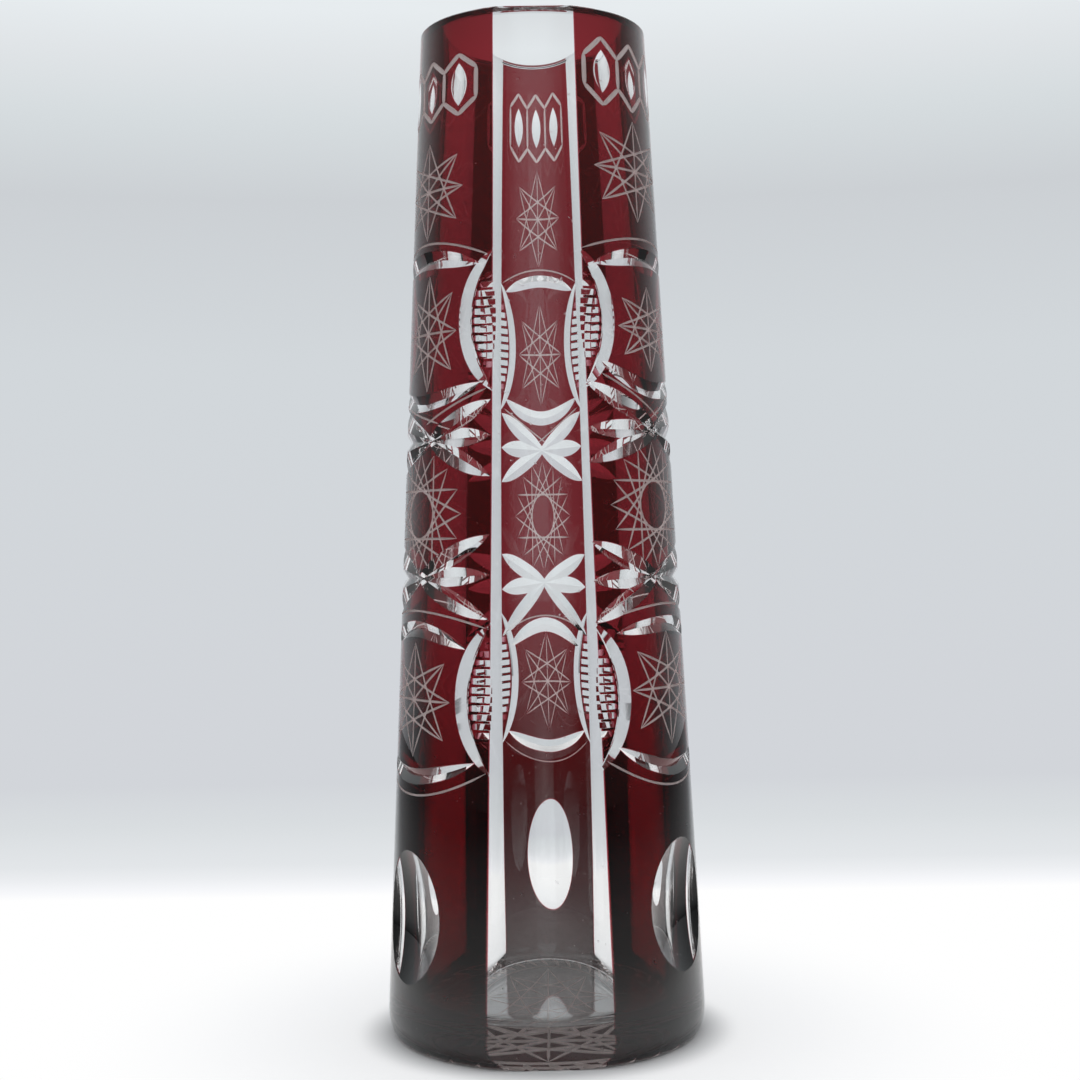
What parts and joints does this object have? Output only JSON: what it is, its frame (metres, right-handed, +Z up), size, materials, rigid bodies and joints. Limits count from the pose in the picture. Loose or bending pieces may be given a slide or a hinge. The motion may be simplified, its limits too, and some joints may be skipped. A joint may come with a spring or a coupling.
{
  "type": "vase",
  "caption": "Tall tapering cut glass vase in clear crystal cased with ruby, three clear flats down the side and a carved pattern on the panels between them",
  "frame": {"origin": "middle of the foot's flat underside, on the table", "axes": "+Z up along the vase's axis to the mouth, +X to the right as seen from the pictured side, and the pictured flat faces -Y"},
  "size_m": [0.0812, 0.0783, 0.254],
  "materials": {
    "clear_glass": "clear lead crystal, polished",
    "ruby_glass": "thin ruby glass casing, polished"
  },
  "bodies": {
    "root": {"clear_body": "clear_glass", "back_top_field": "ruby_glass", "back_upper_window": "ruby_glass", "back_upper_collar": "ruby_glass", "back_middle_field": "ruby_glass", "back_lower_collar": "ruby_glass", "back_lower_window": "ruby_glass", "back_bottom_field": "ruby_glass", "back_upper_cross_left_top": "ruby_glass", "back_upper_cross_right_top": "ruby_glass", "back_upper_cross_left_bottom": "ruby_glass", "back_upper_cross_right_bottom": "ruby_glass", "back_lower_cross_left_top": "ruby_glass", "back_lower_cross_right_top": "ruby_glass", "back_lower_cross_left_bottom": "ruby_glass", "back_lower_cross_right_bottom": "ruby_glass", "back_upper_ladder_left": "ruby_glass", "back_upper_ladder_right": "ruby_glass", "back_lower_ladder_left": "ruby_glass", "back_lower_ladder_right": "ruby_glass", "left_top_field": "ruby_glass", "left_upper_window": "ruby_glass", "left_upper_collar": "ruby_glass", "left_middle_field": "ruby_glass", "left_lower_collar": "ruby_glass", "left_lower_window": "ruby_glass", "left_bottom_field": "ruby_glass", "left_upper_cross_left_top": "ruby_glass", "left_upper_cross_right_top": "ruby_glass", "left_upper_cross_left_bottom": "ruby_glass", "left_upper_cross_right_bottom": "ruby_glass", "left_lower_cross_left_top": "ruby_glass", "left_lower_cross_right_top": "ruby_glass", "left_lower_cross_left_bottom": "ruby_glass", "left_lower_cross_right_bottom": "ruby_glass", "left_upper_ladder_left": "ruby_glass", "left_upper_ladder_right": "ruby_glass", "left_lower_ladder_left": "ruby_glass", "left_lower_ladder_right": "ruby_glass", "right_top_field": "ruby_glass", "right_upper_window": "ruby_glass", "right_upper_collar": "ruby_glass", "right_middle_field": "ruby_glass", "right_lower_collar": "ruby_glass", "right_lower_window": "ruby_glass", "right_bottom_field": "ruby_glass", "right_upper_cross_left_top": "ruby_glass", "right_upper_cross_right_top": "ruby_glass", "right_upper_cross_left_bottom": "ruby_glass", "right_upper_cross_right_bottom": "ruby_glass", "right_lower_cross_left_top": "ruby_glass", "right_lower_cross_right_top": "ruby_glass", "right_lower_cross_left_bottom": "ruby_glass", "right_lower_cross_right_bottom": "ruby_glass", "right_upper_ladder_left": "ruby_glass", "right_upper_ladder_right": "ruby_glass", "right_lower_ladder_left": "ruby_glass", "right_lower_ladder_right": "ruby_glass"}
  },
  "joints": []
}
